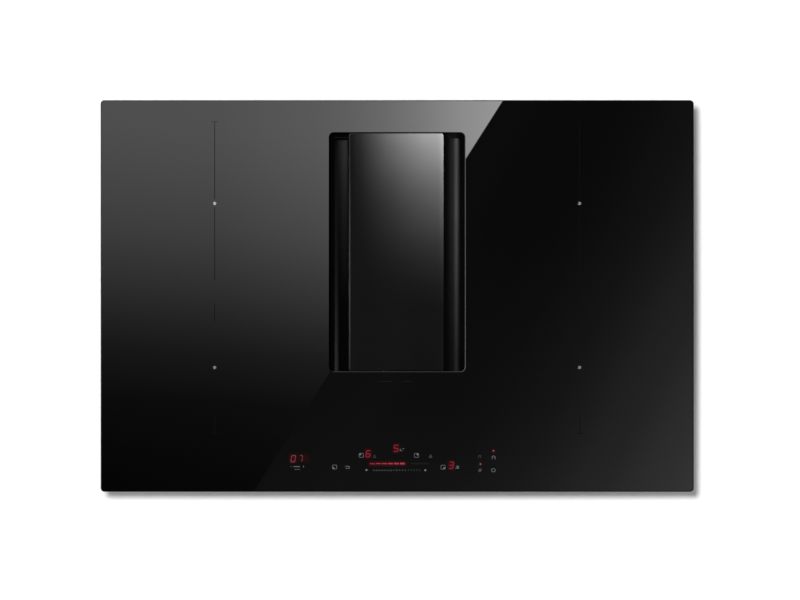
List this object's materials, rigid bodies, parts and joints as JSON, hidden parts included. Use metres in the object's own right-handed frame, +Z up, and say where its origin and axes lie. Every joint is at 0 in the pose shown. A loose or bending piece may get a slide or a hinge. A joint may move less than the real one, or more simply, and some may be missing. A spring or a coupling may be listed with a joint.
{
  "type": "downdraft induction cooktop",
  "caption": "Black glass induction cooktop with a tilting glass flap over a central downdraft intake, filters, blower and flat rear duct outlet.",
  "frame": {"origin": "on the flat underside of the extractor housings, below the centre of the glass", "axes": "+X to the user's right, +Y to the rear of the worktop, +Z up"},
  "size_m": [0.78, 0.515, 0.2611],
  "materials": {
    "black_glass": "polished black glass ceramic",
    "satin_glass": "satin black glass",
    "seal": "black foam rubber",
    "frame_aluminium": "mill",
    "galvanised_steel": "hot-dip galvanised sheet",
    "litz_copper": "enamelled copper litz",
    "coil_aluminium": "mill",
    "ferrite": "sintered ferrite",
    "mica": "pressed mica",
    "sensor_plastic": "pale glass-filled plastic",
    "tray_plastic": "moulded black plastic",
    "circuit_board": "green solder mask",
    "heatsink_aluminium": "extruded",
    "capacitor_sleeve": "shrink sleeve",
    "fan_plastic": "moulded",
    "display_red": "lit red segments",
    "ribbon_pvc": "grey",
    "collar_plastic": "fine-textured black",
    "basin_plastic": "satin black",
    "pin_steel": "ground",
    "filter_aluminium": "anodised",
    "carbon_block": "extruded carbon",
    "tray_steel": "pressed stainless steel",
    "housing_plastic": "moulded",
    "scroll_plastic": "moulded",
    "wheel_plastic": "glass-filled nylon",
    "motor_steel": "zinc plated",
    "gland_nylon": "nylon",
    "screw_zinc": "zinc plated",
    "spring_steel": "spring steel"
  },
  "bodies": {
    "appliance": {"glass_top": "black_glass", "worktop_seal": "seal", "glass_frame": "frame_aluminium", "hob_casing": "galvanised_steel", "coil_windings": "litz_copper", "coil_plates": "coil_aluminium", "ferrite_bars": "ferrite", "mica_sheets": "mica", "zone_sensors": "sensor_plastic", "coil_rails": "coil_aluminium", "board_trays": "tray_plastic", "power_board_left": "circuit_board", "power_board_right": "circuit_board", "heatsinks": "heatsink_aluminium", "board_capacitors": "capacitor_sleeve", "board_chokes": "litz_copper", "cooling_fan_frames": "fan_plastic", "touch_carrier": "tray_plastic", "touch_board": "circuit_board", "displays": "display_red", "ribbon_cable": "ribbon_pvc", "intake_collar": "collar_plastic", "intake_basin": "basin_plastic", "flap_cradles": "collar_plastic", "well_housing": "housing_plastic", "duct_seals": "seal", "blower_base": "housing_plastic", "blower_cover": "housing_plastic", "scroll_body": "scroll_plastic", "scroll_lid": "scroll_plastic", "blower_motor": "motor_steel", "motor_bushes": "seal", "damper_frame": "scroll_plastic", "outlet_spigot": "scroll_plastic", "terminal_box": "tray_plastic", "box_lids": "tray_plastic", "terminal_block": "sensor_plastic", "cable_gland": "gland_nylon", "fan_control_box": "tray_plastic", "fan_control_board": "circuit_board", "housing_screws": "screw_zinc", "spring_clips": "spring_steel"},
    "flap_seat": {"flap_rod": "pin_steel"},
    "flap": {"flap_carrier": "collar_plastic", "flap_glass": "satin_glass"},
    "grease_filter": {"grease_filter_frame": "filter_aluminium", "grease_filter_mesh": "filter_aluminium", "grease_filter_handle": "collar_plastic"},
    "odour_filter_front": {"odour_cassette_front": "collar_plastic", "odour_block_front": "carbon_block"},
    "odour_filter_rear": {"odour_cassette_rear": "collar_plastic", "odour_block_rear": "carbon_block"},
    "drip_tray": {"drip_tray": "tray_steel"},
    "blower_wheel": {"impeller": "wheel_plastic", "motor_shaft": "pin_steel"},
    "cooling_fan_left": {"cooling_fan_rotor_left": "fan_plastic"},
    "cooling_fan_right": {"cooling_fan_rotor_right": "fan_plastic"},
    "damper_upper": {"damper_flap_upper": "wheel_plastic"},
    "damper_lower": {"damper_flap_lower": "wheel_plastic"}
  },
  "joints": [
    {"name": "flap_lift", "type": "slide", "parent": "appliance", "child": "flap_seat", "axis": [0, 0, 1], "range_m": [0, 0.15]},
    {"name": "flap_tilt", "type": "hinge", "parent": "flap_seat", "child": "flap", "pos_m": [-0.0165, 0.0577, 0.205], "axis": [0, 1, 0], "range_deg": [-46, 0]},
    {"name": "grease_filter_lift", "type": "slide", "parent": "appliance", "child": "grease_filter", "axis": [0, 0, 1], "range_m": [0, 0.15]},
    {"name": "odour_filter_front_pull", "type": "slide", "parent": "appliance", "child": "odour_filter_front", "axis": [-1, 0, 0], "range_m": [0, 0.026]},
    {"name": "odour_filter_rear_pull", "type": "slide", "parent": "appliance", "child": "odour_filter_rear", "axis": [-1, 0, 0], "range_m": [0, 0.026]},
    {"name": "drip_tray_lift", "type": "slide", "parent": "appliance", "child": "drip_tray", "axis": [0, 0, 1], "range_m": [0, 0.06]},
    {"name": "blower_spin", "type": "hinge", "parent": "appliance", "child": "blower_wheel", "pos_m": [0.236, 0.02, 0.08], "axis": [0, 0, 1], "continuous": true},
    {"name": "cooling_fan_left_spin", "type": "hinge", "parent": "appliance", "child": "cooling_fan_left", "pos_m": [-0.24, -0.15, 0.165], "axis": [0, 0, 1], "continuous": true},
    {"name": "cooling_fan_right_spin", "type": "hinge", "parent": "appliance", "child": "cooling_fan_right", "pos_m": [0.24, -0.15, 0.165], "axis": [0, 0, 1], "continuous": true},
    {"name": "damper_upper_swing", "type": "hinge", "parent": "appliance", "child": "damper_upper", "pos_m": [0.247, 0.19, 0.1125], "axis": [1, 0, 0], "range_deg": [0, 75]},
    {"name": "damper_lower_swing", "type": "hinge", "parent": "appliance", "child": "damper_lower", "pos_m": [0.247, 0.19, 0.0695], "axis": [1, 0, 0], "range_deg": [0, 75]}
  ],
  "couplings": [
    {"joint": "grease_filter_lift", "follows": "flap_lift", "ratio": 1}
  ]
}
